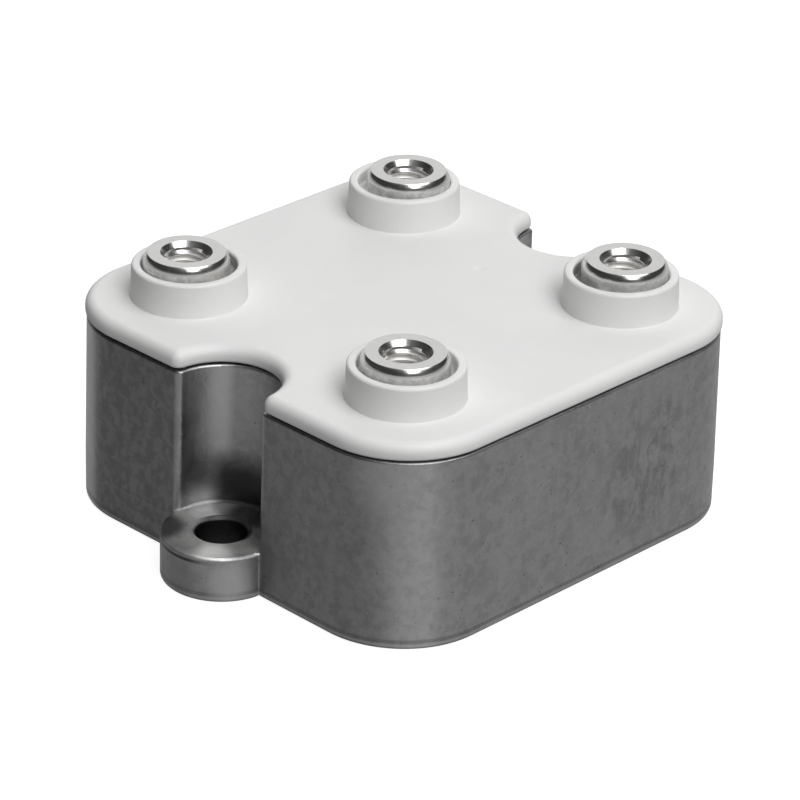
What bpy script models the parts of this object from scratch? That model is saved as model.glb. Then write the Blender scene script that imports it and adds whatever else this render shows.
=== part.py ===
"""Single-phase bridge rectifier in a die-cast aluminium case.

The case stands on its cooling face with its origin in the middle of that face. +X runs along the
line through the two mounting holes. A moulded cap closes the case, and four threaded terminals
stand in its bosses. Four diodes, their copper pads, straps and risers lie inside on a ceramic plate.
"""
import bpy
import bmesh
from math import acos, atan2, cos, pi, radians, sin, sqrt
from mathutils import Vector

MM = 0.001

# Clearances
FIT = 0.3 * MM               # between pieces that lie or fit on each other
SEAT_GAP = 0.35 * MM         # sealing line between the case's rim and the cap
BUSH_GAP = 0.55 * MM         # round a terminal inside its boss

# Case
CASE_SIDE = 57.0 * MM        # at the rim
CASE_HEIGHT = 22.55 * MM
CORNER_RADIUS = 10.8 * MM
CASE_WALL = 2.5 * MM
CASE_FLOOR = 3.0 * MM
WALL_DRAFT = 0.2 * MM        # how much farther out the side faces stand at the base
BASE_EDGE = 0.5 * MM         # rounding round the cooling face
RIM_EDGE = 0.4 * MM          # rounding on the outside of the rim

# Mounting lugs, and the notches above them
HOLE_INSET = 0.5 * MM        # hole's centre, inwards from the side face
HOLE_RADIUS = 2.9 * MM
HOLE_CHAMFER = 0.35 * MM
LUG_RADIUS = 6.8 * MM
LUG_HEIGHT = 5.5 * MM
LUG_EDGE = 0.4 * MM          # rounding round the top of a lug
NOTCH_RADIUS = 6.6 * MM
NOTCH_LIP = 1.0 * MM         # rounding where the notch meets the side face
NOTCH_FOOT = 0.4 * MM        # fillet where the notch meets the lug
INNER_LIP = 1.0 * MM         # the same as the lip, inside the case

# Cap
CAP_OVERHANG = 0.1 * MM
CAP_PLATE = 1.85 * MM
CAP_EDGE = 1.2 * MM          # rounding round the top
CAP_UNDER_EDGE = 0.35 * MM   # rounding round the underside
CAP_LIP = 1.3 * MM
SKIRT_DEPTH = 3.4 * MM
SKIRT_WALL = 1.5 * MM
BOSS_HEIGHT = 4.0 * MM
BOSS_WALL = 1.05 * MM
BOSS_DRAFT = 0.15 * MM
BOSS_EDGE = 0.35 * MM        # rounding outside the rim
BOSS_MOUTH = 0.15 * MM       # rounding inside it
BOSS_FOOT = 0.4 * MM         # fillet where a boss leaves the plate
HUB_DEPTH = 2.2 * MM         # how far the boss tube goes on under the plate

# Terminals
TERMINAL_INSET = 11.35 * MM  # terminal's axis, inwards from both side faces
TERMINAL_RADIUS = 4.9 * MM
TERMINAL_PROUD = 1.4 * MM
TERMINAL_CHAMFER = 0.35 * MM # how far the chamfer goes in from the side
TERMINAL_CHAMFER_DEPTH = 0.7 * MM
THREAD_RADIUS = 2.1 * MM     # core of an M5 thread
THREAD_DEPTH = 9.0 * MM
DRILL_POINT = 1.1 * MM
COUNTERSINK_RADIUS = 2.95 * MM
COUNTERSINK_DEPTH = 0.8 * MM
COLLAR_RADIUS = 6.4 * MM
COLLAR_THICKNESS = 1.5 * MM

# Ceramic plate and copper pads
PLATE_CLEARANCE = 1.2 * MM   # between the ceramic and the notch walls
PLATE_MARGIN = 3.5 * MM      # between the ceramic and the plain side walls
PLATE_THICKNESS = 1.0 * MM
PAD_MARGIN = 1.0 * MM
PAD_GAP = 1.6 * MM
PAD_THICKNESS = 1.0 * MM

# Diodes
CHIP_RADIUS = 3.5 * MM
CHIP_THICKNESS = 0.5 * MM
CHIP_MARGIN = 1.0 * MM       # copper left round a chip
DISC_RADIUS = 3.0 * MM
DISC_THICKNESS = 1.0 * MM

# Straps from the chips, and risers to the terminals
STRAP_WIDTH = 4.0 * MM
STRAP_THICKNESS = 0.6 * MM
STRAP_RISE = 2.7 * MM
STRAP_TOP = 2.4 * MM
STRAP_BEND = 0.8 * MM
RISER_WIDTH = 6.0 * MM
RISER_THICKNESS = 0.8 * MM
RISER_SETBACK = 3.2 * MM     # upright, inwards from the terminal's axis
RISER_FOOT = 2.6 * MM
RISER_TAB = 7.0 * MM
RISER_BEND = 1.2 * MM

# Filling
GEL_COVER = 1.4 * MM
POTTING_RECESS = 0.6 * MM    # potting stops this far under the riser tabs

# Smoothness of the round forms
CORNER_STEPS = 8
NOTCH_STEPS = 16
LIP_STEPS = 3
EDGE_STEPS = 3
SMALL_EDGE_STEPS = 2
TURN_STEPS = 32
BEND_STEPS = 4

# Places worked out from the sizes above
half_side = CASE_SIDE / 2
base_half = half_side + WALL_DRAFT
base_corner = CORNER_RADIUS + WALL_DRAFT
hole_x = half_side - HOLE_INSET
terminal_xy = half_side - TERMINAL_INSET

plate_low = CASE_FLOOR + FIT
pad_low = plate_low + PLATE_THICKNESS + FIT
pad_top = pad_low + PAD_THICKNESS
chip_low = pad_top + FIT
disc_low = chip_low + CHIP_THICKNESS + FIT
strap_head = disc_low + DISC_THICKNESS + FIT + STRAP_THICKNESS / 2
strap_foot = pad_top + FIT + STRAP_THICKNESS / 2
strap_arch = strap_head + STRAP_RISE

cap_low = CASE_HEIGHT + SEAT_GAP
cap_top = cap_low + CAP_PLATE
boss_top = cap_top + BOSS_HEIGHT
hub_low = cap_low - HUB_DEPTH
terminal_top = boss_top + TERMINAL_PROUD
collar_top = hub_low - FIT
terminal_low = collar_top - COLLAR_THICKNESS
riser_tab = terminal_low - FIT - RISER_THICKNESS / 2
riser_foot = pad_top + FIT + RISER_THICKNESS / 2

gel_low = CASE_FLOOR + FIT
gel_top = strap_arch + STRAP_THICKNESS / 2 + GEL_COVER
potting_low = gel_top + FIT
potting_top = riser_tab - RISER_THICKNESS / 2 - POTTING_RECESS

plate_half_x = hole_x - NOTCH_RADIUS - CASE_WALL - PLATE_CLEARANCE
plate_half_y = half_side - CASE_WALL - PLATE_MARGIN
pad_inner = PAD_GAP / 2
pad_outer_x = plate_half_x - PAD_MARGIN
pad_outer_y = plate_half_y - PAD_MARGIN
chip_near = pad_inner + CHIP_MARGIN + CHIP_RADIUS
chip_far_x = pad_outer_x - CHIP_MARGIN - CHIP_RADIUS
chip_far_y = pad_outer_y - CHIP_MARGIN - CHIP_RADIUS

# Each corner of the case: the name of its circuit node, and the signs of its x and y
CORNERS = (
    ("positive", 1, 1),
    ("ac_left", -1, 1),
    ("ac_right", 1, -1),
    ("negative", -1, -1),
)


def clear_scene():
    for old in list(bpy.data.objects):
        bpy.data.objects.remove(old, do_unlink=True)


def new_collection(name):
    made = bpy.data.collections.new(name)
    bpy.context.scene.collection.children.link(made)
    return made


clear_scene()
rectifier = new_collection("bridge_rectifier")
cutters = new_collection("cutters")


def finish(name, colour, roughness, metallic):
    made = bpy.data.materials.new(name)
    made.use_nodes = True
    shader = made.node_tree.nodes["Principled BSDF"]
    shader.inputs["Base Color"].default_value = (*colour, 1.0)
    shader.inputs["Roughness"].default_value = roughness
    shader.inputs["Metallic"].default_value = metallic
    return made


def place(name, mesh, material=None):
    """Put a mesh into the part, or among the cutters when it has no material."""
    made = bpy.data.objects.new(name, mesh)
    if material is None:
        cutters.objects.link(made)
        made.hide_render = True
        made.display_type = "WIRE"
    else:
        rectifier.objects.link(made)
        if not mesh.materials:
            mesh.materials.append(material)
    return made


def smooth(mesh, angle=35):
    mesh.shade_smooth()
    mesh.set_sharp_from_angle(angle=radians(angle))


def combine(target, tool, operation):
    step = target.modifiers.new(f"{operation.lower()} {tool.name}", "BOOLEAN")
    step.operation = operation
    step.solver = "EXACT"
    step.object = tool


def cut(target, tool):
    combine(target, tool, "DIFFERENCE")


def join(target, tool):
    combine(target, tool, "UNION")


def arc(centre, radius, start, end, steps):
    """Points along an arc, both ends included, with angles in radians."""
    angles = [start + (end - start) * i / steps for i in range(steps + 1)]
    return [(centre[0] + radius * cos(a), centre[1] + radius * sin(a)) for a in angles]


def turned_half(points):
    """The same points after half a turn about the origin."""
    return [(-x, -y) for x, y in points]


def rounded_corners(half, radius):
    """The two rounded corners on the +Y side of a square, from +X to -X."""
    reach = half - radius
    right = arc((reach, reach), radius, 0, pi / 2, CORNER_STEPS)
    left = arc((-reach, reach), radius, pi / 2, pi, CORNER_STEPS)
    return right + left


def notched_outline(half, radius, notch, lip):
    """Rounded square with a round notch, centred on each mounting hole, in both X sides."""
    lip_x = half - lip
    lip_y = sqrt((notch + lip) ** 2 - (hole_x - lip_x) ** 2)
    facing = atan2(lip_y, hole_x - lip_x)
    upper_lip = arc((-lip_x, lip_y), lip, pi, pi + facing, LIP_STEPS)
    bow = arc((-hole_x, 0), notch, facing, -facing, NOTCH_STEPS)[1:-1]
    lower_lip = arc((-lip_x, -lip_y), lip, -facing + pi, pi, LIP_STEPS)
    side = rounded_corners(half, radius) + upper_lip + bow + lower_lip
    return side + turned_half(side)


def lugged_outline(half, radius, lug):
    """Rounded square with a round lug, centred on each mounting hole, at both X sides."""
    spread = acos((half - hole_x) / lug)
    bow = arc((-hole_x, 0), lug, pi - spread, pi + spread, NOTCH_STEPS)
    side = rounded_corners(half, radius) + bow
    return side + turned_half(side)


def rounding(radius, steps=EDGE_STEPS):
    """How far an edge's rounding lies inwards and along its wall, from its end face out."""
    return [
        (radius * (1 - sin(pi / 2 * i / steps)), radius * (1 - cos(pi / 2 * i / steps)))
        for i in range(steps + 1)
    ]


def loft(name, sections, material=None):
    """Closed solid through outlines of equal point counts, given with their heights."""
    bm = bmesh.new()
    loops = [[bm.verts.new((x, y, z)) for x, y in outline] for z, outline in sections]
    bm.faces.new(list(reversed(loops[0])))
    bm.faces.new(loops[-1])
    for low, high in zip(loops, loops[1:]):
        for i in range(len(low)):
            j = (i + 1) % len(low)
            bm.faces.new((low[i], low[j], high[j], high[i]))
    mesh = bpy.data.meshes.new(name)
    bm.to_mesh(mesh)
    bm.free()
    smooth(mesh)
    return place(name, mesh, material)


def prism(name, outline, low, high, material=None):
    return loft(name, [(low, outline), (high, outline)], material)


def cylinder(name, centre, radius, low, high, material=None):
    bm = bmesh.new()
    bmesh.ops.create_cone(
        bm, cap_ends=True, segments=TURN_STEPS, radius1=radius, radius2=radius, depth=high - low
    )
    mesh = bpy.data.meshes.new(name)
    bm.to_mesh(mesh)
    bm.free()
    smooth(mesh)
    made = place(name, mesh, material)
    made.location = (centre[0], centre[1], (low + high) / 2)
    return made


def block(name, low, high, material=None):
    bm = bmesh.new()
    bmesh.ops.create_cube(bm, size=1)
    size = Vector(high) - Vector(low)
    bmesh.ops.scale(bm, vec=size, verts=bm.verts)
    mesh = bpy.data.meshes.new(name)
    bm.to_mesh(mesh)
    bm.free()
    made = place(name, mesh, material)
    made.location = (Vector(low) + Vector(high)) / 2
    return made


def profile_mesh(name, points, closed):
    """Wire profile in the XZ plane, for a Screw modifier to turn about Z."""
    bm = bmesh.new()
    verts = [bm.verts.new((x, 0, z)) for x, z in points]
    pairs = list(zip(verts, verts[1:]))
    if closed:
        pairs.append((verts[-1], verts[0]))
    for a, b in pairs:
        bm.edges.new((a, b))
    mesh = bpy.data.meshes.new(name)
    bm.to_mesh(mesh)
    bm.free()
    return mesh


def turn(made):
    """Turn a profile object about its own Z axis."""
    screw = made.modifiers.new("turn", "SCREW")
    screw.axis = "Z"
    screw.angle = 2 * pi
    screw.steps = TURN_STEPS
    screw.render_steps = TURN_STEPS
    screw.use_merge_vertices = True
    screw.merge_threshold = 0.01 * MM
    screw.use_smooth_shade = True
    return made


def bent_path(corners, radius):
    """A path through corner points whose inner corners are rounded to a bend radius."""
    path = [Vector(corners[0])]
    for before, here, after in zip(corners, corners[1:], corners[2:]):
        here = Vector(here)
        to_before = (Vector(before) - here).normalized()
        to_after = (Vector(after) - here).normalized()
        half_angle = to_before.angle(to_after) / 2
        middle = here + (to_before + to_after).normalized() * radius / sin(half_angle)
        setback = radius * cos(half_angle) / sin(half_angle)
        first = (here + to_before * setback - middle).normalized()
        last = (here + to_after * setback - middle).normalized()
        path += [
            middle + radius * first.slerp(last, i / BEND_STEPS) for i in range(BEND_STEPS + 1)
        ]
    path.append(Vector(corners[-1]))
    return path


def strip_mesh(name, corners, radius, width):
    """Open strip of sheet: its side view runs along X and Z, and its width lies along Y."""
    bm = bmesh.new()
    path = bent_path(corners, radius)
    rails = [
        [bm.verts.new((p.x, side * width / 2, p.y)) for p in path]
        for side in (-1, 1)
    ]
    for a, b, c, d in zip(rails[0], rails[0][1:], rails[1][1:], rails[1]):
        bm.faces.new((a, b, c, d))
    mesh = bpy.data.meshes.new(name)
    bm.to_mesh(mesh)
    bm.free()
    return mesh


def thicken(made, thickness):
    sheet = made.modifiers.new("sheet", "SOLIDIFY")
    sheet.thickness = thickness
    sheet.offset = 0
    sheet.use_even_offset = True
    return made


def lengthened(corners, extra):
    """The same corners with both ends of the path drawn out."""
    start = Vector(corners[0])
    end = Vector(corners[-1])
    start += (start - Vector(corners[1])).normalized() * extra
    end += (end - Vector(corners[-2])).normalized() * extra
    return [tuple(start), *corners[1:-1], tuple(end)]


aluminium = finish("cast_aluminium", (0.2, 0.2, 0.205), 0.45, 1.0)
moulding = finish("white_moulding", (0.82, 0.82, 0.81), 0.5, 0.0)
ceramic = finish("alumina", (0.86, 0.85, 0.82), 0.6, 0.0)
copper = finish("copper", (0.72, 0.35, 0.22), 0.35, 1.0)
silicon = finish("silicon", (0.12, 0.13, 0.16), 0.25, 0.3)
molybdenum = finish("molybdenum", (0.45, 0.46, 0.48), 0.4, 1.0)
nickel = finish("nickel_plate", (0.68, 0.67, 0.65), 0.25, 1.0)
gel = finish("silicone_gel", (0.75, 0.78, 0.8), 0.2, 0.0)
resin = finish("potting_resin", (0.06, 0.06, 0.06), 0.5, 0.0)


def inner_outline(inset):
    """Outline of the case's cavity, drawn in by a clearance."""
    return notched_outline(
        half_side - CASE_WALL - inset,
        CORNER_RADIUS - CASE_WALL - inset,
        NOTCH_RADIUS + CASE_WALL + inset,
        INNER_LIP,
    )


def lug_hole_profile():
    """Half section of the cutter for one lug hole and its chamfer."""
    over = LUG_HEIGHT + HOLE_CHAMFER
    return [
        (0, over),
        (HOLE_RADIUS + 2 * HOLE_CHAMFER, over),
        (HOLE_RADIUS, LUG_HEIGHT - HOLE_CHAMFER),
        (HOLE_RADIUS, -HOLE_RADIUS),
        (0, -HOLE_RADIUS),
    ]


def build_housing():
    """Die-cast case: a lugged foot, notched walls over it, a hollow and two screw holes."""
    foot = [
        (along, lugged_outline(base_half - inwards, base_corner - inwards, LUG_RADIUS - inwards))
        for inwards, along in rounding(BASE_EDGE, SMALL_EDGE_STEPS)
    ]
    for inwards, along in reversed(rounding(LUG_EDGE, SMALL_EDGE_STEPS)):
        outline = lugged_outline(base_half, base_corner, LUG_RADIUS - inwards)
        foot.append((LUG_HEIGHT - along, outline))
    housing = loft("housing", foot, aluminium)

    walls = [
        (LUG_HEIGHT + along, notched_outline(base_half, base_corner, NOTCH_RADIUS - inwards, NOTCH_LIP))
        for inwards, along in rounding(NOTCH_FOOT, SMALL_EDGE_STEPS)
    ]
    for inwards, along in reversed(rounding(RIM_EDGE, SMALL_EDGE_STEPS)):
        outline = notched_outline(
            half_side - inwards, CORNER_RADIUS - inwards, NOTCH_RADIUS + inwards, NOTCH_LIP - inwards
        )
        walls.append((CASE_HEIGHT - along, outline))
    join(housing, loft("case_walls", walls))
    cut(housing, prism("case_cavity", inner_outline(0), CASE_FLOOR, CASE_HEIGHT + CASE_FLOOR))

    section = profile_mesh("lug_hole", lug_hole_profile(), closed=False)
    for name, sign in (("left", -1), ("right", 1)):
        hole = turn(place(f"lug_hole_{name}", section))
        hole.location.x = sign * hole_x
        cut(housing, hole)


def boss_profile():
    """Section of one boss tube: down its outside from the rim, then up its bore."""
    bore = TERMINAL_RADIUS + BUSH_GAP
    top_radius = bore + BOSS_WALL
    foot_radius = top_radius + BOSS_DRAFT
    steps = SMALL_EDGE_STEPS
    rim = arc((top_radius - BOSS_EDGE, boss_top - BOSS_EDGE), BOSS_EDGE, pi / 2, 0, steps)
    foot_centre = (foot_radius + BOSS_FOOT, cap_top + BOSS_FOOT)
    fillet = arc(foot_centre, BOSS_FOOT, pi, 3 * pi / 2, steps)
    flare = foot_radius + BOSS_FOOT
    under = [
        (flare, (cap_top + cap_low) / 2),
        (foot_radius, (cap_top + cap_low) / 2),
        (foot_radius, hub_low),
        (bore, hub_low),
    ]
    mouth = arc((bore + BOSS_MOUTH, boss_top - BOSS_MOUTH), BOSS_MOUTH, pi, pi / 2, steps)
    return rim + fillet + under + mouth


def build_cap():
    """Moulded cap: a plate with rounded edge, a skirt that enters the case, and four bosses."""
    half = half_side + CAP_OVERHANG
    radius = CORNER_RADIUS + CAP_OVERHANG
    notch = NOTCH_RADIUS - CAP_OVERHANG
    lower = [(cap_low + a, i) for i, a in rounding(CAP_UNDER_EDGE, SMALL_EDGE_STEPS)]
    upper = [(cap_top - a, i) for i, a in reversed(rounding(CAP_EDGE))]
    plate = [
        (height, notched_outline(half - inwards, radius - inwards, notch + inwards, CAP_LIP))
        for height, inwards in lower + upper
    ]
    cap = loft("cap", plate, moulding)

    skirt_low = cap_low - SKIRT_DEPTH
    skirt = prism("cap_skirt", inner_outline(FIT), skirt_low, (cap_low + cap_top) / 2)
    cut(skirt, prism("skirt_hollow", inner_outline(FIT + SKIRT_WALL), skirt_low - FIT, cap_low))
    join(cap, skirt)

    section = profile_mesh("boss", boss_profile(), closed=True)
    bore = TERMINAL_RADIUS + BUSH_GAP
    for name, x, y in CORNERS:
        centre = (x * terminal_xy, y * terminal_xy)
        opening = cylinder(f"boss_hole_{name}", centre, bore + BOSS_WALL / 2, hub_low, boss_top)
        cut(cap, opening)
        boss = turn(place(f"boss_{name}", section))
        boss.location = (*centre, 0)
        join(cap, boss)


def build_terminals():
    """Nickel-plated bushes with a blind thread, each held down by its collar under the cap."""
    floor = terminal_top - THREAD_DEPTH
    section = [
        (0, floor - DRILL_POINT),
        (THREAD_RADIUS, floor),
        (THREAD_RADIUS, terminal_top - COUNTERSINK_DEPTH),
        (COUNTERSINK_RADIUS, terminal_top),
        (TERMINAL_RADIUS - TERMINAL_CHAMFER, terminal_top),
        (TERMINAL_RADIUS, terminal_top - TERMINAL_CHAMFER_DEPTH),
        (TERMINAL_RADIUS, collar_top),
        (COLLAR_RADIUS, collar_top),
        (COLLAR_RADIUS, terminal_low),
        (0, terminal_low),
    ]
    mesh = profile_mesh("terminal", section, closed=False)
    for name, x, y in CORNERS:
        terminal = turn(place(f"terminal_{name}", mesh, nickel))
        terminal.location = (x * terminal_xy, y * terminal_xy, 0)


def pad_corners(x, y, extra=0):
    """Lowest and highest x and y of the pad in one quarter of the plate."""
    xs = sorted((x * (pad_inner - extra), x * (pad_outer_x + extra)))
    ys = sorted((y * (pad_inner - extra), y * (pad_outer_y + extra)))
    return (xs[0], ys[0]), (xs[1], ys[1])


def build_substrate():
    """Ceramic plate on the case floor, with one copper pad for each side of the circuit."""
    low = (-plate_half_x, -plate_half_y, plate_low)
    high = (plate_half_x, plate_half_y, plate_low + PLATE_THICKNESS)
    block("insulator_plate", low, high, ceramic)
    for name, x, y in CORNERS:
        low, high = pad_corners(x, y)
        block(f"pad_{name}", (*low, pad_low), (*high, pad_top), copper)


# Each diode: its centre, and the turn and place of the strap that leaves it
DIODES = (
    ((chip_near, chip_far_y), 0, (0, chip_far_y)),
    ((chip_far_x, chip_near), pi / 2, (chip_far_x, 0)),
    ((-chip_far_x, chip_near), pi / 2, (-chip_far_x, 0)),
    ((chip_near, -chip_far_y), 0, (0, -chip_far_y)),
)


def build_diodes():
    """Four silicon chips, each under a molybdenum disc that takes up the copper's expansion."""
    for number, (centre, _, _) in enumerate(DIODES, 1):
        cylinder(
            f"diode_chip_{number}", centre, CHIP_RADIUS, chip_low, chip_low + CHIP_THICKNESS, silicon
        )
        cylinder(
            f"contact_disc_{number}", centre, DISC_RADIUS, disc_low, disc_low + DISC_THICKNESS,
            molybdenum
        )


def strap_corners():
    """Side view of a strap: flat on the disc, arched over the gap, flat on the next pad."""
    end = chip_near + STRAP_WIDTH / 2
    start = chip_near - DISC_RADIUS
    crown = STRAP_TOP / 2
    return [
        (end, strap_head), (start, strap_head),
        (crown, strap_arch), (-crown, strap_arch),
        (-start, strap_foot), (-end, strap_foot),
    ]


def riser_corners():
    """Side view of a riser: foot on the pad, upright, tab under the terminal."""
    upright = terminal_xy - RISER_SETBACK
    return [
        (upright + RISER_FOOT, riser_foot), (upright, riser_foot),
        (upright, riser_tab), (upright + RISER_TAB, riser_tab),
    ]


def build_conductors():
    """Bent copper strips that join the chips, the pads and the terminals."""
    strap = strip_mesh("strap", strap_corners(), STRAP_BEND, STRAP_WIDTH)
    for number, (_, angle, origin) in enumerate(DIODES, 1):
        made = thicken(place(f"strap_{number}", strap, copper), STRAP_THICKNESS)
        made.location = (*origin, 0)
        made.rotation_euler.z = angle
    riser = strip_mesh("riser", riser_corners(), RISER_BEND, RISER_WIDTH)
    for name, x, y in CORNERS:
        made = thicken(place(f"riser_{name}", riser, copper), RISER_THICKNESS)
        made.location = (0, y * terminal_xy, 0)
        made.rotation_euler.z = 0 if x > 0 else pi


def hollows_for_conductors():
    """Straps and risers with their clearance, to hollow out what is poured round them."""
    hollows = []
    corners = lengthened(strap_corners(), FIT)
    strap = strip_mesh("strap_hollow", corners, STRAP_BEND, STRAP_WIDTH + 2 * FIT)
    for number, (_, angle, origin) in enumerate(DIODES, 1):
        made = thicken(place(f"strap_hollow_{number}", strap), STRAP_THICKNESS + 2 * FIT)
        made.location = (*origin, 0)
        made.rotation_euler.z = angle
        hollows.append(made)
    corners = lengthened(riser_corners(), FIT)
    riser = strip_mesh("riser_hollow", corners, RISER_BEND, RISER_WIDTH + 2 * FIT)
    for name, x, y in CORNERS:
        made = thicken(place(f"riser_hollow_{name}", riser), RISER_THICKNESS + 2 * FIT)
        made.location = (0, y * terminal_xy, 0)
        made.rotation_euler.z = 0 if x > 0 else pi
        hollows.append(made)
    return hollows


def hollows_for_diodes():
    """The plate, pads, chips and discs with their clearance."""
    low = (-plate_half_x - FIT, -plate_half_y - FIT, gel_low - FIT)
    high = (plate_half_x + FIT, plate_half_y + FIT, plate_low + PLATE_THICKNESS + FIT)
    hollows = [block("plate_hollow", low, high)]
    for name, x, y in CORNERS:
        low, high = pad_corners(x, y, FIT)
        hollows.append(block(f"pad_hollow_{name}", (*low, plate_low), (*high, pad_top + FIT)))
    for number, (centre, _, _) in enumerate(DIODES, 1):
        chip_high = chip_low + CHIP_THICKNESS + FIT
        disc_high = disc_low + DISC_THICKNESS + FIT
        hollows.append(
            cylinder(f"chip_hollow_{number}", centre, CHIP_RADIUS + FIT, pad_low, chip_high)
        )
        hollows.append(
            cylinder(f"disc_hollow_{number}", centre, DISC_RADIUS + FIT, pad_low, disc_high)
        )
    return hollows


def build_filling():
    """Soft gel over the diodes, and hard resin over the gel, both poured round the copper."""
    fill = prism("gel_fill", inner_outline(FIT), gel_low, gel_top, gel)
    potting = prism("potting_layer", inner_outline(FIT), potting_low, potting_top, resin)
    for tool in hollows_for_diodes():
        cut(fill, tool)
    for tool in hollows_for_conductors():
        cut(fill, tool)
        if tool.name.startswith("riser"):
            cut(potting, tool)


build_housing()
build_cap()
build_terminals()
build_substrate()
build_diodes()
build_conductors()
build_filling()
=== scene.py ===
import bmesh
import bpy
from math import atan2, cos, degrees, hypot, pi, radians, sin
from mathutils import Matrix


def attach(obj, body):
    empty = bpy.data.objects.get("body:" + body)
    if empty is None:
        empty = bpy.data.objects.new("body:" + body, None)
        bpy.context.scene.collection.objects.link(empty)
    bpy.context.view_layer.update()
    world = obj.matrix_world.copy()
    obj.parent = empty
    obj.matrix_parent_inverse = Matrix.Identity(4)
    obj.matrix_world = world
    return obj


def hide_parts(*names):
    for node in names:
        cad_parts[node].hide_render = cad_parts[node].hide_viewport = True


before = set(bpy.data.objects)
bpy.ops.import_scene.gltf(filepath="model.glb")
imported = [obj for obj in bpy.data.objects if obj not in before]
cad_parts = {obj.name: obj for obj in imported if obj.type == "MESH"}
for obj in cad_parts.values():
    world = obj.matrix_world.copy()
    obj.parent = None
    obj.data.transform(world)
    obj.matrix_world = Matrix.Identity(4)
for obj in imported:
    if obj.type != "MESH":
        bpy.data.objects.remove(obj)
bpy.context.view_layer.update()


# The case. It is a die casting in bare aluminium, 57 mm square, with its walls and floor in one
# piece. A round notch runs down the middle of two opposite sides, to a lug with a hole for the
# mounting screw. The casting is tumbled and left as it is, so it keeps dull grey stains.

MM = 0.001
RIM_SIDE = 57.0 * MM
FOOT_SIDE = 57.4 * MM
FOOT_CORNER = 11.0 * MM
CASE_TOP = 22.55 * MM
CASE_WALL = 2.5 * MM
CASE_FLOOR = 3.0 * MM
FOOT_EDGE = 0.5 * MM
RIM_EDGE = 0.3 * MM
SCREW_X = 28.0 * MM
SCREW_HOLE = 2.9 * MM
HOLE_CHAMFER = 0.35 * MM
LUG_RADIUS = 6.8 * MM
LUG_TOP = 5.5 * MM
LUG_EDGE = 0.4 * MM
NOTCH_RADIUS = 6.45 * MM
NOTCH_LIP = 0.75 * MM
NOTCH_FOOT = 0.4 * MM
HAIR = 0.01 * MM
SIDES = (-1, 1)
CORNER_STEPS = 24
LIP_STEPS = 8
NOTCH_STEPS = 56
EDGE_STEPS = 5
LUG_SEAM = 3 * MM
NOTCH_MOUTH = 0.3 * MM


def arc(x, y, radius, start, end, steps):
    """Points of an arc, with angles in degrees."""
    turns = [radians(start + (end - start) * i / steps) for i in range(steps + 1)]
    return [(x + radius * cos(turn), y + radius * sin(turn)) for turn in turns]


def notched_square(half, corner, notch, lip):
    """The outline of case or cap: round corners, and a lipped notch over each mounting screw."""
    reach = half - corner
    lip_x = half - lip
    lip_y = ((notch + lip) ** 2 - (SCREW_X - lip_x) ** 2) ** 0.5
    facing = degrees(atan2(lip_y, SCREW_X - lip_x))
    side = [
        *arc(reach, reach, corner, 0, 90, CORNER_STEPS),
        *arc(-reach, reach, corner, 90, 180, CORNER_STEPS),
        *arc(-lip_x, lip_y, lip, 180, 180 + facing, LIP_STEPS),
        *arc(-SCREW_X, 0, notch, facing, -facing, NOTCH_STEPS)[1:-1],
        *arc(-lip_x, -lip_y, lip, 180 - facing, 180, LIP_STEPS),
    ]
    return side + [(-x, -y) for x, y in side]


def lugged_square(half, corner, lug):
    """The outline of the case's foot, with a round lug at each mounting screw."""
    reach = half - corner
    meets = degrees(atan2((lug ** 2 - (half - SCREW_X) ** 2) ** 0.5, half - SCREW_X))
    side = [
        *arc(reach, reach, corner, 0, 90, CORNER_STEPS),
        *arc(-reach, reach, corner, 90, 180, CORNER_STEPS),
        *arc(-SCREW_X, 0, lug, 180 - meets, 180 + meets, NOTCH_STEPS),
    ]
    return side + [(-x, -y) for x, y in side]


def begin(name):
    """Take the primitive that was just added, name it, and settle its place in its mesh."""
    piece = bpy.context.object
    piece.name = name
    piece.data.name = name
    bpy.ops.object.transform_apply(location=True, rotation=True, scale=True)
    return piece


def work_on(piece):
    bpy.ops.object.select_all(action="DESELECT")
    piece.select_set(True)
    bpy.context.view_layer.objects.active = piece


def edit(piece):
    work_on(piece)
    bpy.ops.object.mode_set(mode="EDIT")
    bpy.ops.mesh.select_mode(type="EDGE")
    bpy.ops.mesh.select_all(action="DESELECT")


def leave():
    bpy.ops.object.mode_set(mode="OBJECT")


def draw_line(name, points):
    """Start at one point and draw a line through the others, one extrusion after another."""
    bpy.ops.object.select_all(action="DESELECT")
    bpy.ops.mesh.primitive_plane_add(size=1 * MM, location=(0, 0, 0))
    piece = begin(name)
    bpy.ops.object.mode_set(mode="EDIT")
    bpy.ops.mesh.select_mode(type="VERT")
    bpy.ops.mesh.select_all(action="SELECT")
    bpy.ops.mesh.merge(type="CENTER")
    bpy.ops.transform.translate(value=points[0])
    for here, there in zip(points, points[1:]):
        step = [b - a for a, b in zip(here, there)]
        bpy.ops.mesh.extrude_region_move(TRANSFORM_OT_translate={"value": step})
    bpy.ops.mesh.select_all(action="SELECT")
    return piece


def draw_up(name, outline, low, high):
    """A block with the given outline, drawn up from one height to another."""
    piece = draw_line(name, [(x, y, low) for x, y in [*outline, outline[0]]])
    bpy.ops.mesh.remove_doubles(threshold=0.1 * HAIR)
    bpy.ops.mesh.edge_face_add()
    bpy.ops.mesh.extrude_region_move(TRANSFORM_OT_translate={"value": (0, 0, high - low)})
    bpy.ops.mesh.select_all(action="SELECT")
    bpy.ops.mesh.normals_make_consistent(inside=False)
    leave()
    return piece


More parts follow.
